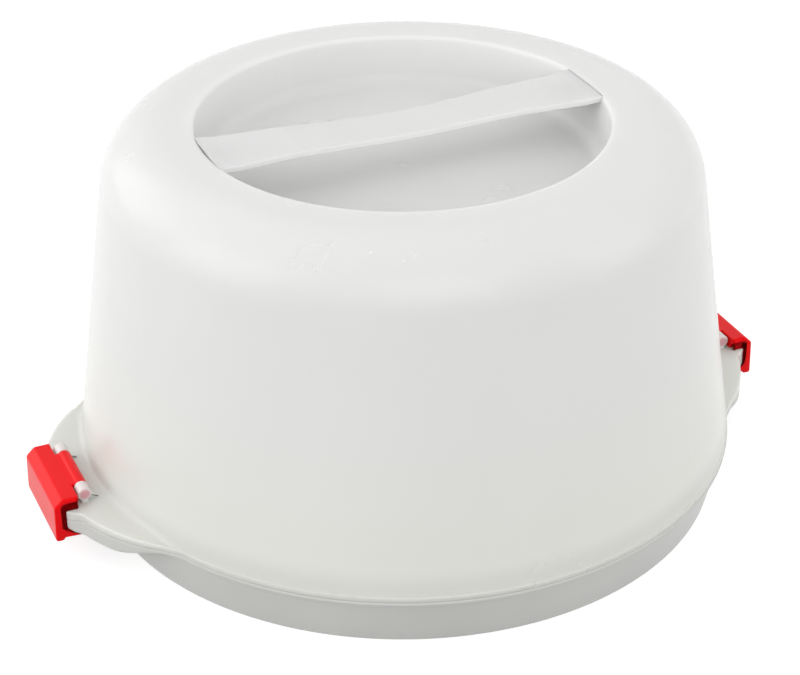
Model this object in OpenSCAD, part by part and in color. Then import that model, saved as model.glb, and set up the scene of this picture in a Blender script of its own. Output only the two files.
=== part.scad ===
// Round cake carrier: a dish-shaped tray, a loose translucent hood that stands on the tray's rim,
// a grip bar sunk in the hood's top, and two clips that swing on the hood and hook under the tray.
// X runs through the two clips, Z is up, and the origin is at the centre of the tray's foot.

/* [Tray] */
// Radius of the tray's foot, where it stands on the table
foot_r = 150; // [149:0.5:151]
// Height of the tray's rim, where the hood sits
tray_h = 24.3; // [24:0.1:24.6]
// Radius of the rim's rolled edge
rim_r = 157; // [156.8:0.1:157.4]
// Thickness of the tray's wall and floor
tray_t = 2.2; // [2:0.1:2.4]
// Height of the raised platform that the cake stands on
platform_z = 7.5; // [6.5:0.5:8.5]

/* [Ears] */
// How far each ear reaches from the middle of the carrier
ear_reach = 177.6; // [177.2:0.1:178]
// Radius of an ear's outline
ear_r = 95; // [93:0.5:96]
// Height of the ear's lip above the table
ear_lip_z = 18; // [17.8:0.1:18.4]

/* [Hood] */
// Height of the flat ring on top of the hood
hood_h = 181; // [178:0.5:184]
// Radius of the hood's wall just above the flange
wall_r = 155.4; // [155:0.1:155.6]
// How much the wall's radius shrinks for each millimetre of height
draft = 0.139; // [0.12:0.001:0.15]
// Thickness of the hood's wall
hood_t = 2; // [1.8:0.1:2.2]
// Radius of the rounded shoulder
shoulder_r = 29.6; // [26:0.2:32]
// Thickness of the flange
flange_t = 2.4; // [2.2:0.1:2.5]

/* [Recessed dish] */
// Radius of the dish at its rim
dish_r = 94.6; // [93:0.2:96]
// Depth of the dish below the ring
dish_depth = 24; // [22:0.5:26]

/* [Handle] */
// Width of the grip at its ends
grip_end_w = 34; // [32:1:36]
// Width of the grip in the middle
grip_mid_w = 25; // [24:1:28]
// How far the middle of the grip dips below its ends
grip_dip = 2.8; // [2:0.1:3.2]

/* [Clips] */
// Length of a clip along its hinge
clip_w = 49; // [48:0.5:50]
// Distance from the middle of the carrier to a clip's outer face
clip_x = 182.9; // [182.7:0.1:183.4]
// Height of a clip's top face
clip_top = 35.6; // [35.4:0.1:35.8]
// Wall thickness of a clip
clip_t = 3; // [2.8:0.1:3.1]

/* [Hidden] */
e = 0.01;
round_fn = 180;

// Tray
skirt_top_r = 155.3;
bead_h = 2.2;
inner_top_r = skirt_top_r - tray_t;
inner_foot_r = foot_r - tray_t;
floor_z = 3.2;
foot_w = 3.4;
platform_r = 132;
lip_t = 2;
ear_c = ear_reach - ear_r;
lip_flat = 50;
lip_run = 68;
catch_w = clip_w + 3;
catch_z = 20;

// Hood
flange_r = 156.5;
flange_top = tray_h + flange_t;
spigot_gap = 0.4;
spigot_drop = 5;
spigot_t = 1.8;
neck_fillet = 1.6;
arc_steps = 20;
draft_a = atan(draft);
wall_z = flange_top + neck_fillet;
// The shoulder is one arc that touches the drafted wall and the flat ring
arc_z = hood_h - shoulder_r;
arc_wall_z = arc_z + shoulder_r * sin(draft_a);
arc_x = wall_r - draft * (arc_wall_z - wall_z) - shoulder_r * cos(draft_a);
dish_floor = hood_h - dish_depth;
dish_edge = 1.6;
dish_foot_r = 6;
dish_draft = 0.17;
gate_r = 2.6;

// Hinge
hinge_x = 167;
hinge_z = 33.6;
knuckle_r = 3.3;
knuckle_in = 14;
knuckle_out = 21;
bore_r = 1.7;
pin_r = 1.64;
pin_end = 19.5;
bore_end = 19.8;
barrel_half = 13.8;
gusset_t = 1.8;

// Handle
grip_half = 90;
grip_t = 2.2;
grip_skirt = 3.2;
grip_edge = 1.8;
grip_gap = 0.9;
grip_level = 82;
grip_steps = 24;
seat_in = 78;
seat_w = 16;
seat_t = 5;
peg_x = 85;
peg_r = 2.5;
peg_h = 2.6;
peg_gap = 0.1;

// Clip section
plate_in = hinge_x + 4;
bevel = 3.9;
wall_in = clip_x - clip_t;
plate_under = clip_top - clip_t;
barrel_r = 3.2;
hook_gap = 0.25;
hook_r = norm([ear_reach - hinge_x, hinge_z - catch_z]) + hook_gap;
hook_in = 170.4;
hook_under = 14.6;
lever_r = 1.9;
lever_z = 15.7;
stop_lip = 2.2;
stop_gap = 0.2;
rib_y = 12;
rib_t = 1.8;
rib_low = 23.2;

function arc(cx, cy, r, a0, a1, n) = [for (i = [0:n]) let (a = a0 + (a1 - a0) * i / n) [cx + r * cos(a), cy + r * sin(a)]];

module ring_of(points) {
    rotate_extrude($fn = round_fn) polygon(points);
}

// Plan of the rim and the two ears, each ear one arc of a large circle
module ear_disc(side, inset = 0) {
    translate([side * ear_c, 0]) circle(r = ear_r - inset, $fn = round_fn);
}

module tray_shell() {
    slope = (skirt_top_r - foot_r) / (tray_h - bead_h);
    ring_of([
        [foot_r - foot_w, 0],
        [foot_r, 0],
        [foot_r + slope * (tray_h - bead_h), tray_h - bead_h],
        [rim_r - 0.5, tray_h - bead_h],
        [rim_r, tray_h - bead_h + 0.5],
        [rim_r, tray_h - 0.5],
        [rim_r - 0.5, tray_h],
        [inner_top_r, tray_h],
        [inner_foot_r + 1.2, floor_z + tray_t + 2],
        [inner_foot_r - 1.6, floor_z + tray_t],
        [platform_r + 3, floor_z + tray_t],
        [platform_r, platform_z],
        [0, platform_z],
        [0, platform_z - tray_t],
        [platform_r - 1, platform_z - tray_t],
        [platform_r + 1, floor_z],
        [foot_r - foot_w, floor_z]
    ]);
}

// Inside of the tray's wall, used to keep the ears out of it
module tray_hollow() {
    ring_of([
        [0, -e],
        [inner_foot_r - 1, -e],
        [inner_top_r, tray_h],
        [inner_top_r, tray_h + e],
        [0, tray_h + e]
    ]);
}

// The lip runs level behind the clip and rises to the rim at both ends of the ear
module lip_outline(side) {
    translate([side * (ear_reach - 70), 0, 0])
        rotate([90, 0, 90])
            translate([0, 0, -72])
                linear_extrude(144)
                    polygon([
                        [-ear_r, tray_h],
                        [-ear_r, tray_h - bead_h],
                        [-lip_run, tray_h - bead_h],
                        [-lip_flat, ear_lip_z],
                        [-catch_w / 2 - 2, ear_lip_z],
                        [-catch_w / 2, catch_z],
                        [catch_w / 2, catch_z],
                        [catch_w / 2 + 2, ear_lip_z],
                        [lip_flat, ear_lip_z],
                        [lip_run, tray_h - bead_h],
                        [ear_r, tray_h - bead_h],
                        [ear_r, tray_h]
                    ]);
}

module tray_ear(side) {
    difference() {
        intersection() {
            translate([0, 0, ear_lip_z - 1]) linear_extrude(tray_h - ear_lip_z + 1) ear_disc(side);
            lip_outline(side);
        }
        translate([0, 0, ear_lip_z - 2]) linear_extrude(tray_h - bead_h - ear_lip_z + 2) ear_disc(side, lip_t);
        tray_hollow();
    }
}

module base_tray() {
    color([0.86, 0.87, 0.86]) union() {
        tray_shell();
        for (side = [-1, 1]) tray_ear(side);
    }
}

function hood_outer() = concat(
    [[flange_r - 0.4, tray_h], [flange_r, tray_h + 0.4], [flange_r, flange_top - 0.4], [flange_r - 0.4, flange_top]],
    [[wall_r + 0.5, flange_top], [wall_r + 0.1, flange_top + 0.5], [wall_r, wall_z]],
    arc(arc_x, arc_z, shoulder_r, draft_a, 90, arc_steps),
    arc(dish_r + dish_edge, hood_h - dish_edge, dish_edge, 90, 170, 5)
);

function dish_top() = let (
    foot_z = dish_floor + dish_foot_r,
    side_r = dish_r - dish_draft * (hood_h - dish_edge - foot_z)
) concat(arc(side_r - dish_foot_r, foot_z, dish_foot_r, 0, -90, 6), [[0, dish_floor]]);

function dish_under() = let (
    foot_z = dish_floor + dish_foot_r,
    side_r = dish_r - dish_draft * (hood_h - dish_edge - foot_z)
) concat([[0, dish_floor - hood_t]], arc(side_r - dish_foot_r, foot_z, dish_foot_r + hood_t, -90, 0, 6));

function hood_inner() = concat(
    [[dish_r + hood_t, hood_h - hood_t - dish_edge], [dish_r + hood_t + 1, hood_h - hood_t]],
    arc(arc_x, arc_z, shoulder_r - hood_t, 90, draft_a, arc_steps),
    [[wall_r - hood_t, wall_z], [wall_r - hood_t, flange_top]]
);

function spigot() = let (
    outer = inner_top_r - spigot_gap,
    foot = outer - 1.1
) [
    [outer - spigot_t, flange_top],
    [foot - spigot_t, tray_h - spigot_drop],
    [foot - 0.5, tray_h - spigot_drop],
    [foot, tray_h - spigot_drop + 0.5],
    [outer, tray_h]
];

module hood_shell() {
    ring_of(concat(hood_outer(), dish_top(), dish_under(), hood_inner(), spigot()));
}

module hood_ear(side) {
    difference() {
        translate([0, 0, tray_h]) linear_extrude(flange_t) ear_disc(side);
        translate([0, 0, tray_h - 1]) cylinder(r = wall_r - 1, h = flange_t + 2, $fn = round_fn);
    }
}

// One knuckle of a pair: a closed-ended eye on a foot, tied to the wall by a gusset
module knuckle(side, end) {
    translate([side * hinge_x, end * (knuckle_in + knuckle_out) / 2, hinge_z]) {
        rotate([90, 0, 0])
            cylinder(r = knuckle_r, h = knuckle_out - knuckle_in, center = true, $fn = 64);
        translate([-knuckle_r + 0.4, -(knuckle_out - knuckle_in) / 2, flange_top - hinge_z - 0.5])
            cube([2 * knuckle_r - 0.8, knuckle_out - knuckle_in, hinge_z - flange_top + 0.5]);
    }
    gusset_x = wall_r - 2;
    translate([side > 0 ? gusset_x : -hinge_x, end * (knuckle_in + knuckle_out) / 2 - gusset_t / 2, flange_top - 0.5])
        cube([hinge_x - gusset_x, gusset_t, 4.5]);
}

module knuckle_bore(side, end) {
    translate([side * hinge_x, end * (knuckle_in - 1), hinge_z])
        rotate([-end * 90, 0, 0])
            cylinder(r = bore_r, h = bore_end - knuckle_in + 1, $fn = 64);
}

// Ledges on the dish's wall that the grip's ends rest on
module grip_seat(side) {
    intersection() {
        translate([side > 0 ? seat_in : -dish_r - 1, -seat_w / 2, hood_h - grip_skirt - seat_t])
            cube([dish_r + 1 - seat_in, seat_w, seat_t]);
        cylinder(r = dish_r + 0.4, h = hood_h, $fn = round_fn);
    }
}

module hood() {
    color([0.90, 0.91, 0.89, 0.75]) difference() {
        union() {
            hood_shell();
            translate([0, 0, dish_floor - 1]) cylinder(r1 = gate_r, r2 = gate_r - 0.6, h = 1.5, $fn = 40);
            for (side = [-1, 1]) {
                hood_ear(side);
                grip_seat(side);
                for (end = [-1, 1]) knuckle(side, end);
            }
        }
        for (side = [-1, 1]) {
            for (end = [-1, 1]) knuckle_bore(side, end);
            translate([side * peg_x, 0, hood_h - grip_skirt - peg_h - 0.4])
                cylinder(r = peg_r + peg_gap, h = peg_h + 2, $fn = 48);
        }
    }
}

// Half width of the grip at a distance x from its middle
function grip_half_w(x) = grip_mid_w / 2 + (grip_end_w - grip_mid_w) / 2 * pow(abs(x) / grip_half, 2);

// Height of the grip's top at a distance x from its middle, level at both ends
function grip_top(x) = hood_h - grip_dip * (1 + cos(180 * min(abs(x) / grip_level, 1))) / 2;

// Places along the grip where its curves are worked out
function grip_xs(reach) = [for (i = [0:grip_steps]) -reach + 2 * reach * i / grip_steps];

// The grip seen from above: waisted, with ends that follow the dish's rim
module grip_plan(inset) {
    xs = grip_xs(grip_half + 5);
    intersection() {
        polygon(concat(
            [for (x = xs) [x, grip_half_w(x) - inset]],
            [for (i = [0:grip_steps]) [xs[grip_steps - i], inset - grip_half_w(xs[grip_steps - i])]]
        ));
        circle(r = dish_r - grip_gap - inset, $fn = round_fn);
    }
}

// A slab between two depths below the grip's dipped top
module grip_layer(upper, lower) {
    xs = grip_xs(grip_half + 6);
    rotate([90, 0, 0])
        translate([0, 0, -grip_end_w])
            linear_extrude(2 * grip_end_w)
                polygon(concat(
                    [for (x = xs) [x, grip_top(x) - upper]],
                    [for (i = [0:grip_steps]) [xs[grip_steps - i], grip_top(xs[grip_steps - i]) - lower]]
                ));
}

module carry_handle() {
    color([0.92, 0.93, 0.91, 0.8]) {
        difference() {
            intersection() {
                translate([0, 0, hood_h - 20]) linear_extrude(30) grip_plan(0);
                grip_layer(0, grip_skirt);
            }
            // The grip is hollow below, between its edges and its two solid ends
            intersection() {
                translate([-seat_in, -grip_end_w, hood_h - 20]) cube([2 * seat_in, 2 * grip_end_w, 30]);
                translate([0, 0, hood_h - 20]) linear_extrude(30) grip_plan(grip_edge);
                grip_layer(grip_t, grip_skirt + 4);
            }
        }
        for (side = [-1, 1])
            translate([side * peg_x, 0, hood_h - grip_skirt - peg_h])
                cylinder(r = peg_r, h = peg_h + 1, $fn = 48);
    }
}

// Section of a clip across its hinge: top plate, bevel, outer wall and the hook under the ear.
// The hook's upper face is an arc about the hinge, so it swings clear of the ear's lip.
module clip_section() {
    polygon([
        [plate_in, plate_under],
        [plate_in, clip_top],
        [clip_x - bevel, clip_top],
        [clip_x, clip_top - bevel],
        [clip_x, lever_z],
        [wall_in, lever_z],
        [wall_in, plate_under - 1.5],
        [wall_in - 1.5, plate_under]
    ]);
    translate([clip_x - lever_r, lever_z]) circle(r = lever_r, $fn = 48);
    difference() {
        polygon([
            [wall_in + e, catch_z + 2.5],
            [wall_in + e, hook_under + 0.5],
            [hook_in, hook_under],
            [hook_in, catch_z + 2.5]
        ]);
        translate([hinge_x, hinge_z]) circle(r = hook_r, $fn = round_fn);
    }
}

// A bar of the clip's section, centred on the X axis
module along_hinge(length) {
    rotate([90, 0, 0]) linear_extrude(length, center = true) children();
}

module clip() {
    along_hinge(clip_w) clip_section();
    // Barrel and its two trunnions, joined to the plate by a web
    translate([hinge_x, 0, hinge_z]) rotate([90, 0, 0]) {
        cylinder(r = barrel_r, h = 2 * barrel_half, center = true, $fn = 64);
        cylinder(r = pin_r, h = 2 * pin_end, center = true, $fn = 64);
    }
    translate([hinge_x, -barrel_half, plate_under])
        cube([plate_in - hinge_x + e, 2 * barrel_half, clip_t]);
    // Lip along the plate's inner edge, beside each knuckle
    for (end = [-1, 1])
        translate([plate_in, end > 0 ? barrel_half : -clip_w / 2, plate_under - stop_lip])
            cube([stop_lip, clip_w / 2 - barrel_half, stop_lip + e]);
    // Ribs that close against the edge of the hood's ear
    for (end = [-1, 1])
        translate([ear_reach + stop_gap, end * rib_y - rib_t / 2, rib_low])
            cube([wall_in - ear_reach - stop_gap + e, rib_t, plate_under - rib_low + e]);
}

module left_clip() {
    color([0.90, 0.05, 0.06]) mirror([1, 0, 0]) clip();
}

module right_clip() {
    color([0.90, 0.05, 0.06]) clip();
}

base_tray();
hood();
carry_handle();
left_clip();
right_clip();
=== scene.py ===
import math

import bpy
import numpy as np
from mathutils import Matrix, Vector


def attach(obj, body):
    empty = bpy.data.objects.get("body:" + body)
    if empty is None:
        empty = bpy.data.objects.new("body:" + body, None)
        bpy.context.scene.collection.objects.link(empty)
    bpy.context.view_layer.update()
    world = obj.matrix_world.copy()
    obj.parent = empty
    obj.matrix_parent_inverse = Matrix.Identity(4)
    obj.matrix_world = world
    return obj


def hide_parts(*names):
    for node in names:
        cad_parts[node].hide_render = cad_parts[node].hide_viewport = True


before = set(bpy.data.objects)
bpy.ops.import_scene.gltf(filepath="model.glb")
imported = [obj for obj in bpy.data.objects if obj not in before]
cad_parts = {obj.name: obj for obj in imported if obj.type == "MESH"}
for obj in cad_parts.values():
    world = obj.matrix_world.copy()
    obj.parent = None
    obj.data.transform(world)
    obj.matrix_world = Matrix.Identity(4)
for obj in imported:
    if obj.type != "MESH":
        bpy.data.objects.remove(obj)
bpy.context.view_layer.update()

# The tray is one moulding of opaque white plastic: a foot ring, a skirt that widens upwards, a rim, a
# raised round platform for the cake, and two ears whose lip turns down so that the clips can hook under
# it. The hood's flange stands on its rim. Lengths in this script are in millimetres unless it says so.
MM = 0.001
AROUND = 540
CORNER_STEPS = 5
scene = bpy.context.scene
angle = np.linspace(0.0, 2.0 * np.pi, AROUND, endpoint=False)
one = np.ones_like(angle)

foot_r, foot_w, skirt_top_r, rim_r = 150.0, 3.4, 155.3, 156.9
rim_z, bead_h, tray_t, lip_t, lip_least, lip_below_bead = 25.0, 1.8, 2.2, 2.0, 0.3, 0.2
floor_under, platform_r, platform_z, platform_slope, under_slope = 3.2, 132.0, 7.5, 3.0, 1.0
cove_h, cove_top_in, cove_low_in = 2.0, 1.0, 3.8
ear_reach, ear_r, ear_lip_z, ear_blend = 176.6, 84.0, 17.8, 6.0
ear_starts, ear_full, droop_full, droop_ends = 0.3, 6.0, 46.0, 66.0
catch_z, catch_full, catch_ends, catch_reach = 20.0, 25.0, 28.0, 177.4
bulge, bulge_full, bulge_ends = 4.2, 24.0, 29.5
cut_share, guard_share = 0.40, 0.46


def rounded(corners, cuts, guard=0.6):
    """A broken line with its inner corners rounded.

    Each corner C becomes a parabola between the two points that lie a cut length before and after it:
    (1-t)^2 P + 2 t (1-t) C + t^2 Q. One more point lies a guard length outside each end of the parabola,
    so that smooth shading stays flat on the long runs. Neither length goes past its share of the run.
    Corners may have leading axes, one line for each.
    """
    corners = np.asarray(corners, float)
    line = [corners[..., 0, :]]
    for i in range(1, corners.shape[-2] - 1):
        here = corners[..., i, :]
        if cuts[i] <= 0.0:
            line.append(here)
            continue
        back = corners[..., i - 1, :] - here
        ahead = corners[..., i + 1, :] - here
        back_len = np.linalg.norm(back, axis=-1, keepdims=True)
        ahead_len = np.linalg.norm(ahead, axis=-1, keepdims=True)
        cut_back = np.minimum(cuts[i], cut_share * back_len)
        cut_ahead = np.minimum(cuts[i], cut_share * ahead_len)
        p = here + back / back_len * cut_back
        q = here + ahead / ahead_len * cut_ahead
        line.append(here + back / back_len * np.minimum(cut_back + guard, guard_share * back_len))
        for t in np.linspace(0.0, 1.0, CORNER_STEPS):
            line.append((1 - t) ** 2 * p + 2 * t * (1 - t) * here + t ** 2 * q)
        line.append(here + ahead / ahead_len * np.minimum(cut_ahead + guard, guard_share * ahead_len))
    line.append(corners[..., -1, :])
    return np.stack(line, axis=-2)


def smooth_step(x, low, high):
    """0 below low, 1 above high, and 3t^2 - 2t^3 between them."""
    t = np.clip((x - low) / (high - low), 0.0, 1.0)
    return t * t * (3.0 - 2.0 * t)


def plan_reach(round_r):
    """How far the rim or flange reaches from the axis in each direction.

    The ear is a circle of radius R = ear_r about (c, 0) on either side, so it reaches
    c cos + sqrt(R^2 - c^2 sin^2), or c cos where the direction misses that circle. Inside a clip's span
    it swells by bulge, but not past x = catch_reach. The round rim and the ear meet in a soft maximum:
    (1 - h) round + h ear + h (1 - h) blend / 2, where h goes from 0 to 1 while ear - round goes from
    -blend to blend.
    """
    c = ear_reach - ear_r
    cos, sin = np.abs(np.cos(angle)), np.abs(np.sin(angle))
    cos_not_small = np.maximum(cos, 0.5)
    ear = c * cos + np.sqrt(np.maximum(ear_r ** 2 - (c * sin) ** 2, 0.0))
    swollen = ear + bulge * (1.0 - smooth_step(ear * sin, bulge_full, bulge_ends))
    ear = np.maximum(ear, np.minimum(swollen, catch_reach / cos_not_small))
    h = np.clip(0.5 + 0.5 * (ear - round_r) / ear_blend, 0.0, 1.0)
    return round_r * (1 - h) + ear * h + ear_blend * h * (1 - h) * 0.5


def section(corners):
    """A rounded profile for each direction, from ((radius, height), cut) corners.

    A radius or height is one number for the whole round, or an array with one number per direction.
    """
    stacked = np.stack([np.stack([r * one, z * one], axis=-1) for (r, z), _ in corners], axis=1)
    return rounded(stacked, [cut for _, cut in corners])


def turned(profile):
    """Points of a profile (radius, height), one line per direction, carried round the Z axis."""
    r, z = profile[..., 0], profile[..., 1]
    return np.stack([r * np.cos(angle)[:, None], r * np.sin(angle)[:, None], z], axis=-1)


def surface(name, grid, caps=False):
    """A piece from a grid of points, closed round its first axis.

    A first or last column whose points all fall together becomes one pole. caps closes those columns
    with a flat face each. The faces are turned so that the volume they enclose, a sixth of the sum of
    a . (b x c) over their triangles, is positive.
    """
    n_u, n_v = grid.shape[:2]
    pole_size = 1e-6
    index = np.arange(n_u * n_v).reshape(n_u, n_v)
    poles = [v for v in (0, n_v - 1) if np.ptp(grid[:, v], axis=0).max() < pole_size]
    for v in poles:
        index[:, v] = index[0, v]
    used, index = np.unique(index, return_inverse=True)
    index = index.reshape(n_u, n_v)
    points = (grid.reshape(-1, 3) * MM)[used]
    onward = np.roll(index, -1, axis=0)
    quads = np.stack([index[:, :-1], onward[:, :-1], onward[:, 1:], index[:, 1:]], axis=-1)
    strips = list(quads.transpose(1, 0, 2))
    if 0 in poles:
        strips[0] = strips[0][:, [0, 2, 3]]
    if n_v - 1 in poles:
        strips[-1] = strips[-1][:, [0, 1, 2]]
    halves = [strip[:, :3] for strip in strips]
    halves += [strip[:, [0, 2, 3]] for strip in strips if strip.shape[1] == 4]
    a, b, c = points[np.concatenate(halves)].transpose(1, 0, 2)
    polygons = [face for strip in strips for face in strip.tolist()]
    if caps:
        polygons += [index[::-1, 0].tolist(), index[:, -1].tolist()]
    if np.sum(a * np.cross(b, c)) < 0.0:
        polygons = [face[::-1] for face in polygons]
    mesh = bpy.data.meshes.new(name)
    mesh.from_pydata(points.tolist(), [], polygons)
    mesh.polygons.foreach_set("use_smooth", np.ones(len(mesh.polygons), bool))
    mesh.update()
    piece = bpy.data.objects.new(name, mesh)
    scene.collection.objects.link(piece)
    return piece


def tray_profile():
    """The tray's section in each direction.

    It runs from the axis along the underside to the foot, up the skirt, round the lip of the rim or ear,
    and back down inside to the platform. The lip's lower edge falls by smooth steps from the bead to
    ear_lip_z on the ears, and stands at catch_z inside a clip's span.
    """
    reach = plan_reach(rim_r)
    side_y = np.abs(reach * np.sin(angle))
    on_ear = smooth_step(reach, rim_r + ear_starts, rim_r + ear_full)
    droop = 1.0 - smooth_step(side_y, droop_full, droop_ends)
    catch = 1.0 - smooth_step(side_y, catch_full, catch_ends)
    bead_z = rim_z - bead_h
    lip_z = bead_z - lip_below_bead
    low = lip_z - (lip_z - ear_lip_z) * droop * on_ear + (catch_z - ear_lip_z) * catch * on_ear
    lip_in = np.maximum(reach - lip_t, skirt_top_r + lip_least)
    floor_z = floor_under + tray_t
    return section([
        ((0.0, platform_z - tray_t), 0), ((platform_r - under_slope, platform_z - tray_t), 2.0),
        ((platform_r + under_slope, floor_under), 2.0), ((foot_r - foot_w, floor_under), 0.8),
        ((foot_r - foot_w, 0.0), 0.7), ((foot_r, 0.0), 0.9),
        ((skirt_top_r, bead_z), 0.8), ((lip_in, bead_z), 0.8),
        ((lip_in, low), 0.5), ((reach, low), 1.8), ((reach, rim_z), 0.9),
        ((skirt_top_r - tray_t, rim_z), 0.9), ((foot_r - cove_top_in, floor_z + cove_h), 2.5),
        ((foot_r - cove_low_in, floor_z), 2.5), ((platform_r + platform_slope, floor_z), 2.0),
        ((platform_r, platform_z), 2.5), ((0.0, platform_z), 0)])


PLASTIC_IOR = 1.49
cloud_low, cloud_high = 0.3, 0.7
gloss_finer, ripple_finer = 3.0, 1.7
grain_depth, ripple_depth = 0.2 * MM, 2.0 * MM


def plastic(name, low_colour, high_colour, roughness, ripple, grain, ripple_bump, grain_bump, sockets):
    """A moulded plastic, with the values in sockets set on its shader's own sockets.

    Two near colours are mixed by cloudy noise of scale ripple. A finer cloud moves the roughness between
    its two ends, and the bump is fine grain over slow ripples, as a tool leaves on a thin wall.
    """
    material = bpy.data.materials.new(name)
    material.use_nodes = True
    nodes, links = material.node_tree.nodes, material.node_tree.links
    shader = nodes["Principled BSDF"]
    place = nodes.new("ShaderNodeTexCoord")

    def noise(scale, detail):
        """Noise between 0 and 1 on the Object coordinates."""
        node = nodes.new("ShaderNodeTexNoise")
        node.inputs["Scale"].default_value = scale
        node.inputs["Detail"].default_value = detail
        links.new(place.outputs["Object"], node.inputs["Vector"])
        return node.outputs["Fac"]

    def raised(height, strength, depth):
        """A bump node for the given height."""
        node = nodes.new("ShaderNodeBump")
        node.inputs["Strength"].default_value = strength
        node.inputs["Distance"].default_value = depth
        links.new(height, node.inputs["Height"])
        return node

    ramp = nodes.new("ShaderNodeValToRGB")
    first, last = ramp.color_ramp.elements
    first.position, last.position = cloud_low, cloud_high
    first.color, last.color = (*low_colour, 1.0), (*high_colour, 1.0)
    links.new(noise(ripple, detail=3.0), ramp.inputs["Fac"])
    links.new(ramp.outputs["Color"], shader.inputs["Base Color"])
    gloss = nodes.new("ShaderNodeMapRange")
    gloss.inputs["To Min"].default_value, gloss.inputs["To Max"].default_value = roughness
    links.new(noise(ripple * gloss_finer, detail=4.0), gloss.inputs["Value"])
    links.new(gloss.outputs["Result"], shader.inputs["Roughness"])
    fine = raised(noise(grain, detail=2.0), grain_bump, grain_depth)
    slow = raised(noise(ripple * ripple_finer, detail=1.0), ripple_bump, ripple_depth)
    links.new(slow.outputs["Normal"], fine.inputs["Normal"])
    links.new(fine.outputs["Normal"], shader.inputs["Normal"])
    shader.inputs["IOR"].default_value = PLASTIC_IOR
    for socket, value in sockets.items():
        shader.inputs[socket].default_value = value
    return material


# Painted shade: the tray's white plastic is given a grey colour, about half its real brightness, so that
# the skirt, which faces a little downwards, looks as dark as the shade it stands in.
tray_white_painted_shade = plastic(
    "tray_white_painted_shade", low_colour=(0.47, 0.475, 0.455), high_colour=(0.505, 0.51, 0.49),
    roughness=(0.30, 0.40), ripple=14.0, grain=1400.0, ripple_bump=0.06, grain_bump=0.10,
    sockets={"Subsurface Weight": 0.10, "Subsurface Radius": (1.0, 1.0, 0.95),
             "Subsurface Scale": 3.0 * MM})
tray = surface("tray_body", turned(tray_profile()))
tray.data.materials.append(tray_white_painted_shade)
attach(tray, "tray")
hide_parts("base_tray")

# The hood is one thin moulding of milky, translucent plastic. Its drafted wall rolls over a wide
# shoulder to a flat ring, and the middle of the top sinks into a round dish with the mark of the gate
# at its centre. The flange rests on the tray's rim, and a short ring inside it drops into the tray.
hood_top, hood_t, wall_r, draft = 181.0, 2.0, 156.0, 0.139
shoulder_r, ring_under, gate_r, gate_h, gate_lean = 29.6, 2.4, 2.6, 0.5, 0.6
dish_r, dish_depth, dish_lean, dish_bend, dish_low_in, dish_low_out = 94.6, 24.0, 0.17, 6.0, 0.9, 1.1
flange_r, flange_t, flange_edge, foot_bend, foot_rise, foot_out = 156.7, 2.4, 0.6, 3.2, 9.0, 0.1
flange_top = rim_z + flange_t
wall_low_z = flange_top + 1.6
spigot_gap, spigot_h, spigot_t, spigot_lean = 0.4, 5.0, 1.8, 1.1
deck_z, deck_level, deck_ends, deck_skin, deck_starts, deck_full = 29.4, 25.0, 75.0, 2.6, 0.5, 8.0
pocket_gap, pocket_out, pocket_in, pocket_lean = 0.05, 0.2, 1.2, 0.1
ARC_STEPS = 22


def wall_at(z):
    """The drafted wall's outer radius at height z."""
    return wall_r - draft * (z - wall_low_z)


def shoulder_arc(radius):
    """The shoulder's quarter round, from the ring to the wall, as corners that need no rounding.

    Its centre plus radius times (cos, sin). The centre lies so that the outer arc touches both the ring
    and the drafted wall.
    """
    lean = math.atan(draft)
    centre_z = hood_top - shoulder_r
    centre_r = wall_at(centre_z + shoulder_r * math.sin(lean)) - shoulder_r * math.cos(lean)
    turn = np.linspace(math.pi / 2, lean, ARC_STEPS)
    return [((centre_r + radius * math.cos(a), centre_z + radius * math.sin(a)), 0) for a in turn]


def hood_profile():
    """The hood's section in each direction.

    It runs from the axis over the dish, ring, shoulder, wall and flange, and back inside. On the ears
    the flange rises to a deck, level for |y| below deck_level and falling in a straight line to the
    flange at deck_ends, with a pocket below its skin.
    """
    reach = plan_reach(flange_r)
    on_ear = smooth_step(reach, flange_r + deck_starts, flange_r + deck_full)
    side_y = np.abs(reach * np.sin(angle))
    level = np.clip((deck_ends - side_y) / (deck_ends - deck_level), 0.0, 1.0)
    deck = flange_top + (deck_z - flange_top) * level * on_ear
    pocket_low = rim_z + pocket_gap
    pocket = pocket_low + (deck - deck_skin - pocket_low).clip(0.0) * on_ear
    lip_in = np.maximum(reach - lip_t, flange_r - flange_edge)
    dish_z = hood_top - dish_depth
    dish_low_r = dish_r - dish_lean * (dish_depth - dish_bend)
    spigot_r = skirt_top_r - tray_t - spigot_gap
    return section([
        ((0.0, dish_z + gate_h), 0), ((gate_r - gate_lean, dish_z + gate_h), 0.3),
        ((gate_r, dish_z), 0.3), ((dish_low_r - dish_low_in, dish_z), dish_bend), ((dish_r, hood_top), 1.7),
        *shoulder_arc(shoulder_r),
        ((wall_at(deck + foot_rise), deck + foot_rise), 0), ((wall_r + foot_out, deck), foot_bend),
        ((reach, deck), 0.7), ((reach, rim_z), 0.4), ((lip_in, rim_z), 0.3),
        ((lip_in - pocket_out, pocket), 0.3), ((flange_r - pocket_in, pocket), 0.3),
        ((flange_r - pocket_in - pocket_lean, rim_z), 0.2), ((spigot_r, rim_z), 0.3),
        ((spigot_r - spigot_lean, rim_z - spigot_h), 0.6),
        ((spigot_r - spigot_lean - spigot_t, rim_z - spigot_h), 0.6),
        ((spigot_r - spigot_t, flange_top), 0.6), ((wall_r - hood_t, flange_top), 0.8),
        *shoulder_arc(shoulder_r - hood_t)[::-1],
        ((dish_r + ring_under, hood_top - hood_t), 1.2),
        ((dish_low_r + dish_low_out, dish_z - hood_t), dish_bend + 1.0), ((0.0, dish_z - hood_t), 0)])


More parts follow.
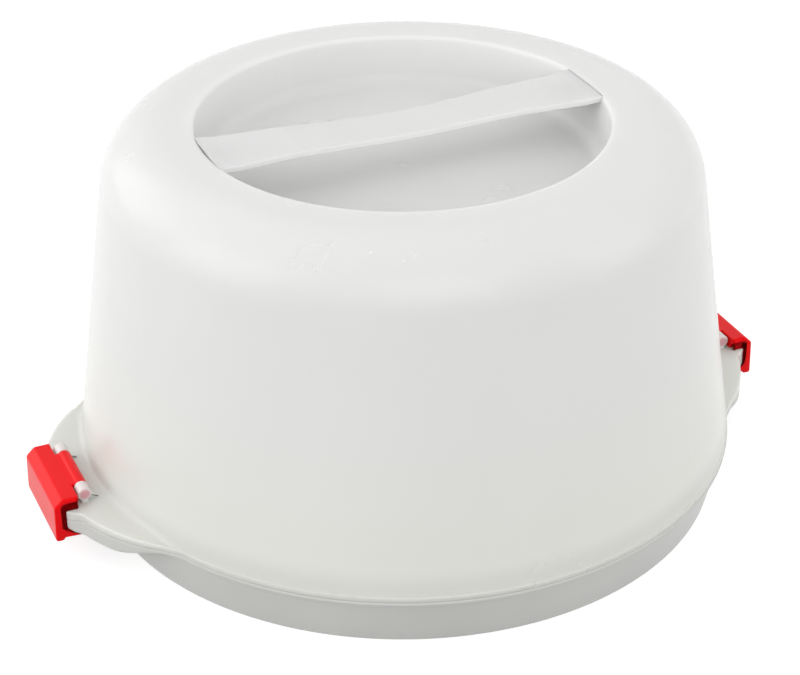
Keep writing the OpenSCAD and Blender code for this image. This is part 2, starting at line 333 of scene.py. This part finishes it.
def coordinate(tree, kind, axis):
    """One axis of the piece's Object position or of its own Normal."""
    place = tree.nodes.new("ShaderNodeTexCoord")
    split = tree.nodes.new("ShaderNodeSeparateXYZ")
    tree.links.new(place.outputs[kind], split.inputs[0])
    return split.outputs[axis]


def fades(tree, value, start, end, strength=1.0):
    """strength where value is below start, 0 where it is above end, and a smooth step between them."""
    node = tree.nodes.new("ShaderNodeMapRange")
    node.interpolation_type = "SMOOTHSTEP"
    node.inputs["From Min"].default_value, node.inputs["From Max"].default_value = start, end
    node.inputs["To Min"].default_value, node.inputs["To Max"].default_value = strength, 0.0
    tree.links.new(value, node.inputs["Value"])
    return node.outputs["Result"]


def coloured(material, amount, colour, blend="MIX"):
    """Blends one more colour over the material's base colour, by an amount from 0 to 1."""
    tree = material.node_tree
    base = tree.nodes["Principled BSDF"].inputs["Base Color"]
    node = tree.nodes.new("ShaderNodeMix")
    node.data_type = "RGBA"
    node.blend_type = blend
    tree.links.new(amount, node.inputs["Factor"])
    tree.links.new(base.links[0].from_socket, node.inputs["A"])
    node.inputs["B"].default_value = (*colour, 1.0)
    tree.links.new(node.outputs["Result"], base)


hood = surface("hood_shell", turned(hood_profile()))
milky = plastic(
    "milky_plastic", low_colour=(0.865, 0.87, 0.85), high_colour=(0.89, 0.895, 0.875),
    roughness=(0.22, 0.30), ripple=7.0, grain=1100.0, ripple_bump=0.08, grain_bump=0.05,
    sockets={"Transmission Weight": 0.20, "Specular IOR Level": 0.20, "Subsurface Weight": 0.40,
             "Subsurface Radius": (1.0, 1.0, 0.95), "Subsurface Scale": 12.0 * MM})
warm_low, warm_high, warm_tint = 35.0 * MM, 125.0 * MM, (1.0, 1.0, 0.95)
# Painted shade: below 30 mm, fading out by 41 mm, the hood is darkened to 0.9. This stands in for the shade
# and the dark reflection at the wall's foot above the flange.
painted_shade_low, painted_shade_high, painted_shade_tint = 30.0 * MM, 41.0 * MM, (0.90, 0.90, 0.90)
height = coordinate(milky.node_tree, "Object", "Z")
coloured(milky, fades(milky.node_tree, height, warm_low, warm_high), warm_tint, "MULTIPLY")
coloured(milky, fades(milky.node_tree, height, painted_shade_low, painted_shade_high), painted_shade_tint, "MULTIPLY")
hood.data.materials.append(milky)
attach(hood, "hood")
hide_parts("hood")

# Each knuckle is an eye on a short foot, moulded on the hood's ear, with a low gusset behind it. Two of
# them hold each clip. Their outer ends are closed, so the clip's red trunnion is seen only through the
# milky plastic of the eye, partly by its transmission and partly as a pink glow painted round the hinge.
hinge_x, hinge_z = 167.0, 33.6
knuckle_r, knuckle_in, knuckle_out, knuckle_edge = 3.3, 14.0, 21.0, 0.5
eye_opens, neck_half, neck_h, foot_half, foot_sunk = 0.36, 1.7, 0.3, 2.3, 0.4
gusset_in, gusset_out, gusset_lean, gusset_low, gusset_high, gusset_back_h = 3.5, 1.5, 3.0, 0.5, 3.0, 2.2
gusset_half, gusset_edge, gusset_corner = 0.9, 0.4, 0.2
# Painted glow: a pink colour round the hinge stands in for the red trunnion seen through the milky eye.
painted_glow_full, painted_glow_ends, painted_glow_strength, painted_glow_tint = 1.4 * MM, 3.4 * MM, 0.75, (0.72, 0.28, 0.34)
HINGE_STEPS = 41
ROUND_STEPS = 5


def bar(name, outline, y_low, y_high, edge, side):
    """A bar along Y with the given closed outline (x, z), its two end edges rounded to a radius.

    Near an end the outline is drawn in along its own normals by edge (1 - sin) while the station moves
    by edge (1 - cos), which sweeps a quarter circle. side -1 mirrors the bar to the left ear.
    """
    outline = np.asarray(outline, float)
    ahead = np.roll(outline, -1, axis=0) - np.roll(outline, 1, axis=0)
    normal = np.stack([ahead[:, 1], -ahead[:, 0]], axis=1)
    normal /= np.linalg.norm(normal, axis=1, keepdims=True)
    x, z = outline.T
    twice_area = np.sum(x * np.roll(z, -1) - np.roll(x, -1) * z)
    if twice_area < 0:
        normal = -normal
    guard = 1.6 * edge
    quarter = np.linspace(0.0, math.pi / 2, ROUND_STEPS)
    stations = [(y_low + edge * (1 - math.cos(q)), edge * (1 - math.sin(q))) for q in quarter]
    stations += [(y_low + guard, 0.0), (y_high - guard, 0.0)]
    stations += [(y_high - edge * (1 - math.cos(q)), edge * (1 - math.sin(q))) for q in quarter[::-1]]
    rings = []
    for y, inset in stations:
        drawn = outline - normal * inset
        rings.append(np.stack([side * drawn[:, 0], np.full(len(drawn), y), drawn[:, 1]], axis=1))
    return surface(name, np.stack(rings, axis=1), caps=True)


def looped(corners, cuts, guard=0.6):
    """A closed outline with every corner rounded by the same rule as rounded()."""
    corners = np.asarray(corners, float)
    around = np.concatenate([corners[..., -1:, :], corners, corners[..., :1, :]], axis=-2)
    return rounded(around, [0, *cuts, 0], guard)[..., 1:-1, :]


def hinge_arc(radius, start, end, steps):
    """Points on a circle about the hinge, from one angle to another."""
    turn = np.linspace(start, end, steps)
    return np.stack([hinge_x + radius * np.cos(turn), hinge_z + radius * np.sin(turn)], axis=1)


def knuckle_outline():
    """The eye's side view: most of a circle about the hinge, on a foot that spreads to the deck."""
    eye = hinge_arc(knuckle_r, -eye_opens * math.pi, (1.0 + eye_opens) * math.pi, HINGE_STEPS)
    foot = [(hinge_x - neck_half, deck_z + neck_h), (hinge_x - foot_half, deck_z - foot_sunk),
            (hinge_x + foot_half, deck_z - foot_sunk), (hinge_x + neck_half, deck_z + neck_h)]
    return np.concatenate([eye, foot])


def gusset_outline():
    """The gusset's side view: a low block between the wall's foot and the eye, sunk into the deck."""
    low, wall_x, eye_x = deck_z - gusset_low, wall_r + gusset_in, hinge_x - gusset_out
    return looped([(wall_x, low), (eye_x, low), (eye_x, deck_z + gusset_high),
                   (wall_x + gusset_lean, deck_z + gusset_back_h)], [gusset_corner] * 4)


def maths(tree, operation, first, second=0.0):
    """The result of one Math node, whose two values are numbers or other nodes' results."""
    node = tree.nodes.new("ShaderNodeMath")
    node.operation = operation
    for socket, value in zip(node.inputs, (first, second)):
        if isinstance(value, float):
            socket.default_value = value
        else:
            tree.links.new(value, socket)
    return node.outputs[0]


def knuckle_plastic():
    """The milky plastic, painted pink where the trunnion lies behind it, as a glow seen through the eye.

    The painted pink fades with the distance from the hinge, sqrt((|x| - hinge_x)^2 + (z - hinge_z)^2).
    """
    material = plastic(
        "knuckle_plastic", low_colour=(0.86, 0.86, 0.845), high_colour=(0.90, 0.90, 0.885),
        roughness=(0.14, 0.22), ripple=60.0, grain=1100.0, ripple_bump=0.04, grain_bump=0.05,
        sockets={"Transmission Weight": 0.35, "Subsurface Weight": 0.30,
                 "Subsurface Radius": (1.0, 0.9, 0.9), "Subsurface Scale": 3.0 * MM})
    tree = material.node_tree
    across = maths(tree, "SUBTRACT", maths(tree, "ABSOLUTE", coordinate(tree, "Object", "X")), hinge_x * MM)
    up = maths(tree, "SUBTRACT", coordinate(tree, "Object", "Z"), hinge_z * MM)
    squares = maths(tree, "ADD", maths(tree, "MULTIPLY", across, across), maths(tree, "MULTIPLY", up, up))
    glow = fades(tree, maths(tree, "SQRT", squares), painted_glow_full, painted_glow_ends, painted_glow_strength)
    coloured(material, glow, painted_glow_tint)
    return material


painted_glow_plastic = knuckle_plastic()
for side, where in ((-1.0, "left"), (1.0, "right")):
    for end, place in ((-1.0, "front"), (1.0, "rear")):
        low, high = sorted((end * knuckle_in, end * knuckle_out))
        middle = 0.5 * (low + high)
        eye = bar(f"knuckle_{where}_{place}", knuckle_outline(), low, high, knuckle_edge, side)
        gusset = bar(f"gusset_{where}_{place}", gusset_outline(), middle - gusset_half,
                     middle + gusset_half, gusset_edge, side)
        for piece, material in ((eye, painted_glow_plastic), (gusset, milky)):
            piece.data.materials.append(material)
            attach(piece, "hood")

# The grip is a separate waisted bar of the same milky plastic. It crosses the dish level with the
# ring, dips in the middle, and is hollow below between two edges that stiffen it. Its ends follow the
# dish's rim and sit on two small ledges.
grip_end_w, grip_mid_w, grip_wide_x, grip_dip, grip_level = 34.0, 25.0, 90.0, 2.8, 82.0
grip_t, grip_skirt, grip_edge, hollow_short, solid_before, solid_after = 2.2, 3.2, 1.8, 0.05, 2.0, 1.0
grip_reach = dish_r + 0.6
end_sunk, inner_sunk, end_rises, end_level = 0.2, 0.7, 84.5, 90.0
seat_in, seat_w, seat_t, seat_gap, seat_lean, seat_edge = 78.0, 16.0, 5.0, 0.02, 0.3, 0.4
upright_below, level_above, painted_edge_highlight = 0.30, 0.85, (0.95, 0.955, 0.94)
ALONG = 161


def grip_points():
    """The grip as a section carried along X, with run going from -1 to 1.

    A section point (y, depth) goes to x = run sqrt(grip_reach^2 - y^2), so that the ends follow the
    dish's rim, and to z = hood_top - max(dip, sunk) - depth. Half the width grows with x squared, dip is
    half a cosine wave that ends at grip_level, and sunk becomes less in a smooth step near the ends. The
    bar is solid over the seats and hollow below between them.
    """
    run = np.linspace(-1.0, 1.0, ALONG)
    half_mid, half_end = grip_mid_w / 2, grip_end_w / 2
    half = half_mid + (half_end - half_mid) * (run * grip_reach / grip_wide_x) ** 2
    solid = smooth_step(np.abs(run * grip_reach), seat_in - solid_before, seat_in + solid_after)
    hollow = grip_t + (grip_skirt - hollow_short - grip_t) * solid
    inner = half - grip_edge
    top, bottom = np.zeros(ALONG), np.full(ALONG, grip_skirt)
    corners = [(-half, top), (half, top), (half, bottom), (inner, bottom),
               (inner, hollow), (-inner, hollow), (-inner, bottom), (-half, bottom)]
    stacked = np.stack([np.stack(corner, axis=-1) for corner in corners], axis=1)
    outline = looped(stacked, [0.9, 0.9, 0.5, 0.5, 0.4, 0.4, 0.5, 0.5], guard=0.4)
    y, depth = outline[..., 0], outline[..., 1]
    x = run[:, None] * np.sqrt(grip_reach ** 2 - y ** 2)
    dip = grip_dip * 0.5 * (1 + np.cos(np.pi * np.minimum(np.abs(x) / grip_level, 1.0)))
    sunk = end_sunk + (inner_sunk - end_sunk) * (1.0 - smooth_step(np.abs(x), end_rises, end_level))
    z = hood_top - np.maximum(dip, sunk) - depth
    return np.stack([x, y, z], axis=-1).transpose(1, 0, 2)


grip = surface("grip_bar", grip_points(), caps=True)
grip_milky = plastic(
    "grip_milky_plastic", low_colour=(0.76, 0.765, 0.755), high_colour=(0.79, 0.795, 0.785),
    roughness=(0.17, 0.25), ripple=9.0, grain=1100.0, ripple_bump=0.08, grain_bump=0.05,
    sockets={"Transmission Weight": 0.30, "Specular IOR Level": 0.32, "Subsurface Weight": 0.50,
             "Subsurface Radius": (1.0, 1.0, 0.95), "Subsurface Scale": 8.0 * MM})
tree = grip_milky.node_tree
# Painted highlight: the bar's upright faces are painted almost white. This stands in for the light that
# their edges catch.
faces_up = maths(tree, "ABSOLUTE", coordinate(tree, "Normal", "Z"))
coloured(grip_milky, fades(tree, faces_up, upright_below, level_above), painted_edge_highlight)
grip.data.materials.append(grip_milky)
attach(grip, "hood")
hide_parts("carry_handle")
for side, where in ((-1.0, "left"), (1.0, "right")):
    seat_top = hood_top - grip_skirt - seat_gap
    seat_low = seat_top - seat_t
    seat_outline = looped([(seat_in, seat_low), (dish_r, seat_low), (dish_r + seat_lean, seat_top),
                           (seat_in, seat_top)], [0.4, 0.1, 0.1, 0.4])
    seat = bar(f"grip_seat_{where}", seat_outline, -seat_w / 2, seat_w / 2, seat_edge, side)
    seat.data.materials.append(milky)
    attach(seat, "hood")

# Each clip is one moulding of red plastic: a barrel with two trunnions that turn in the knuckles, a
# top plate cut back beside each knuckle, a bevel, an outer wall that ends in a thumb edge, and a hook
# under the ear. The hook's upper face is an arc about the hinge, so it swings out past the ear's lip.
clip_w, clip_x, clip_top, clip_t, bevel, clip_edge = 49.0, 182.9, 35.6, 3.0, 3.9, 0.9
clip_wall_t, flare, hook_in, hook_under, hook_clear = 4.2, 0.5, 170.4, 14.6, 0.25
lever_r, lever_z, lever_lean, hook_slope, plate_in = 1.9, 15.7, 0.6, 0.5, 171.0
barrel_r, barrel_half, barrel_edge, pin_r, pin_end, pin_edge = 3.2, 13.8, 0.4, 1.64, 19.5, 0.3
web_starts, web_top_x, web_in_x, web_sunk, web_proud = 0.27, 0.9, 1.5, 0.06, 0.02
stop_in, stop_out, stop_t, stop_clear, stop_sunk, stop_edge = 14.2, 22.0, 2.2, 0.25, 0.4, 0.4
HOOK_STEPS, WEB_STEPS, PIN_STEPS = 9, 7, 33
hook_r = math.hypot(catch_reach - hinge_x, hinge_z - catch_z) + hook_clear
under_plate = clip_top - clip_t
clip_red = plastic(
    "clip_red", low_colour=(0.69, 0.002, 0.004), high_colour=(0.74, 0.004, 0.007),
    roughness=(0.28, 0.36), ripple=30.0, grain=1600.0, ripple_bump=0.05, grain_bump=0.10,
    sockets={"Specular IOR Level": 0.20, "Specular Tint": (1.0, 0.30, 0.30, 1.0),
             "Subsurface Weight": 0.08, "Subsurface Radius": (1.0, 0.2, 0.2), "Subsurface Scale": 2.0 * MM})


def clip_outline():
    """The clip's side view: plate, bevel, wall, thumb edge, hook, and back up the inner faces.

    The hook's upper face is a circle of radius hook_r about the hinge.
    """
    wall_in = clip_x - clip_wall_t
    lever_low, lever_in = lever_z - lever_r, clip_x - 2 * lever_r
    hook_face = [(x, hinge_z - math.sqrt(hook_r ** 2 - (x - hinge_x) ** 2))
                 for x in np.linspace(hook_in, wall_in, HOOK_STEPS)]
    corners = [((plate_in, under_plate), 0.5), ((plate_in, clip_top), 0.5),
               ((clip_x - flare - bevel, clip_top), 1.0), ((clip_x - flare, clip_top - bevel), 1.0),
               ((clip_x, lever_low), 1.7), ((lever_in, lever_low), 1.4),
               ((lever_in - lever_lean, hook_under + hook_slope), 0.6), ((hook_in, hook_under), 0.7),
               (hook_face[0], 0.4), *[(point, 0) for point in hook_face[1:]],
               ((wall_in, under_plate), 1.5)]
    return looped([point for point, _ in corners], [cut for _, cut in corners])


def barrel_outline():
    """The barrel with its web: a circle about the hinge that runs out in a hollow curve into the plate.

    The hollow goes evenly in x while its rise follows 2 run - run^2.
    """
    web_low = under_plate + web_sunk
    meets_web = 2 * math.pi - math.asin((hinge_z - web_low) / barrel_r)
    ring = hinge_arc(barrel_r, web_starts * math.pi, meets_web, HINGE_STEPS)
    start_x, start_z = ring[0]
    wide, tall = plate_in + web_top_x - start_x, clip_top + web_proud - start_z
    run = np.linspace(0.0, 1.0, WEB_STEPS)[1:]
    hollow = np.stack([start_x + wide * run, start_z + tall * (2 * run - run ** 2)], axis=1)
    inside_plate = [(plate_in + web_in_x, web_low), (plate_in + web_in_x, clip_top - web_sunk)]
    return np.concatenate([ring, inside_plate, hollow[::-1]])


def stop_outline():
    """The lip below the plate's inner edge, beside a knuckle, that stands just clear of the hood's ear."""
    low, high = deck_z + stop_clear, under_plate + stop_sunk
    return looped([(plate_in, low), (plate_in + stop_t, low), (plate_in + stop_t, high), (plate_in, high)],
                  [stop_edge] * 4)


for side, where in ((-1.0, "left"), (1.0, "right")):
    shell = bar(f"clip_{where}", clip_outline(), -clip_w / 2, clip_w / 2, clip_edge, side)
    barrel = bar(f"clip_barrel_{where}", barrel_outline(), -barrel_half, barrel_half, barrel_edge, side)
    pin_outline = hinge_arc(pin_r, 0.0, 2 * math.pi, PIN_STEPS)[:-1]
    pin = bar(f"clip_trunnions_{where}", pin_outline, -pin_end, pin_end, pin_edge, side)
    stops = [bar(f"clip_stop_{where}_{place}", stop_outline(), low, high, stop_edge, side)
             for low, high, place in ((-stop_out, -stop_in, "front"), (stop_in, stop_out, "rear"))]
    for piece in (shell, barrel, pin, *stops):
        piece.data.materials.append(clip_red)
        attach(piece, f"{where}_clip")
    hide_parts(f"{where}_clip")

# The carrier stands on a plain pale floor, which keeps its soft shadow, in an evenly lit white studio.
# The camera, reflections and the view through the plastic get both as white, and the carrier itself is
# lit by a greyer floor and a slightly dimmer studio. Lengths from here on are in metres.
floor_half, floor_grey, floor_roughness, floor_seen = 6.0, 0.45, 0.9, 0.70
studio_light, studio_seen = 0.95, 1.0


def sees_background(tree):
    """1 for camera, glossy and transmission rays, and 0 for the rays that light the object."""
    rays = tree.nodes.new("ShaderNodeLightPath")
    seen = rays.outputs["Is Camera Ray"]
    for kind in ("Is Glossy Ray", "Is Transmission Ray"):
        seen = maths(tree, "MAXIMUM", seen, rays.outputs[kind])
    return seen


floor_mesh = bpy.data.meshes.new("floor")
floor_mesh.from_pydata([(-floor_half, -floor_half, 0), (floor_half, -floor_half, 0),
                        (floor_half, floor_half, 0), (-floor_half, floor_half, 0)], [], [(0, 1, 2, 3)])
floor = bpy.data.objects.new("floor", floor_mesh)
scene.collection.objects.link(floor)
pale = bpy.data.materials.new("pale_floor")
pale.use_nodes = True
shader = pale.node_tree.nodes["Principled BSDF"]
shader.inputs["Base Color"].default_value = (floor_grey, floor_grey, floor_grey, 1.0)
shader.inputs["Roughness"].default_value = floor_roughness
shader.inputs["Specular IOR Level"].default_value = 0.0
shader.inputs["Emission Color"].default_value = (1.0, 1.0, 1.0, 1.0)
whitened = maths(pale.node_tree, "MULTIPLY", sees_background(pale.node_tree), floor_seen)
pale.node_tree.links.new(whitened, shader.inputs["Emission Strength"])
floor_mesh.materials.append(pale)

scene.view_settings.view_transform = "Standard"
world = bpy.data.worlds.new("white_studio")
scene.world = world
world.use_nodes = True
tree = world.node_tree
level = tree.nodes.new("ShaderNodeMapRange")
level.inputs["To Min"].default_value = studio_light
level.inputs["To Max"].default_value = studio_seen
tree.links.new(sees_background(tree), level.inputs["Value"])
tree.nodes["Background"].inputs["Color"].default_value = (1.0, 1.0, 1.0, 1.0)
tree.links.new(level.outputs["Result"], tree.nodes["Background"].inputs["Strength"])

# The camera stands where the photograph was taken from: the foot's circle, the dish's rim and the
# outline of the hood were matched with a 97 mm lens at 30 degrees above the table. Its own right-hand
# direction is turned 23 degrees from the line through the clips.
camera_turn, camera_lift, camera_roll = math.radians(-23.43), math.radians(30.227), math.radians(-0.383)
distance, target_x, target_z = 1.03085, -0.00171, 0.06495
focal_px, image_w, sensor_w = 2146.8, 800.0, 36.0


def facing(place, aim):
    """The matrix that puts an object at place and points its own -Z at aim, with its own Y upwards."""
    return Matrix.Translation(place) @ (aim - place).to_track_quat("-Z", "Y").to_matrix().to_4x4()


spin = Matrix.Rotation(camera_turn, 4, "Z")
target = spin @ Vector((target_x, 0.0, target_z))
back_off = Vector((0.0, -distance * math.cos(camera_lift), distance * math.sin(camera_lift)))
camera_data = bpy.data.cameras.new("camera")
camera_data.sensor_width = sensor_w
camera_data.lens = focal_px / image_w * sensor_w
camera = bpy.data.objects.new("camera", camera_data)
camera.matrix_world = facing(target + spin @ back_off, target) @ Matrix.Rotation(camera_roll, 4, "Z")
scene.collection.objects.link(camera)
scene.camera = camera

# Four large soft lamps stand round the carrier, at places given as the camera sees them: one in front,
# two on the left, and a weaker one on the right. They face a point inside the hood.
lamp_aim = Vector((0.0, 0.0, 0.1))


def soft_lamp(name, place, width, height, power):
    """A rectangular lamp at place, with its power in watts, turned to face the carrier."""
    lamp = bpy.data.lights.new(name, "AREA")
    lamp.shape = "RECTANGLE"
    lamp.size, lamp.size_y, lamp.energy = width, height, power
    holder = bpy.data.objects.new(name, lamp)
    holder.matrix_world = facing(spin @ Vector(place), lamp_aim)
    scene.collection.objects.link(holder)


soft_lamp("lamp_front", (0.5, -2.3, 1.3), 2.0, 1.6, 18.0)
soft_lamp("lamp_left_front", (-2.1, -0.9, 1.0), 1.6, 1.6, 17.0)
soft_lamp("lamp_left_rear", (-1.9, 1.2, 0.9), 1.4, 1.4, 9.0)
soft_lamp("lamp_right", (2.2, -0.3, 0.7), 1.4, 1.4, 7.0)
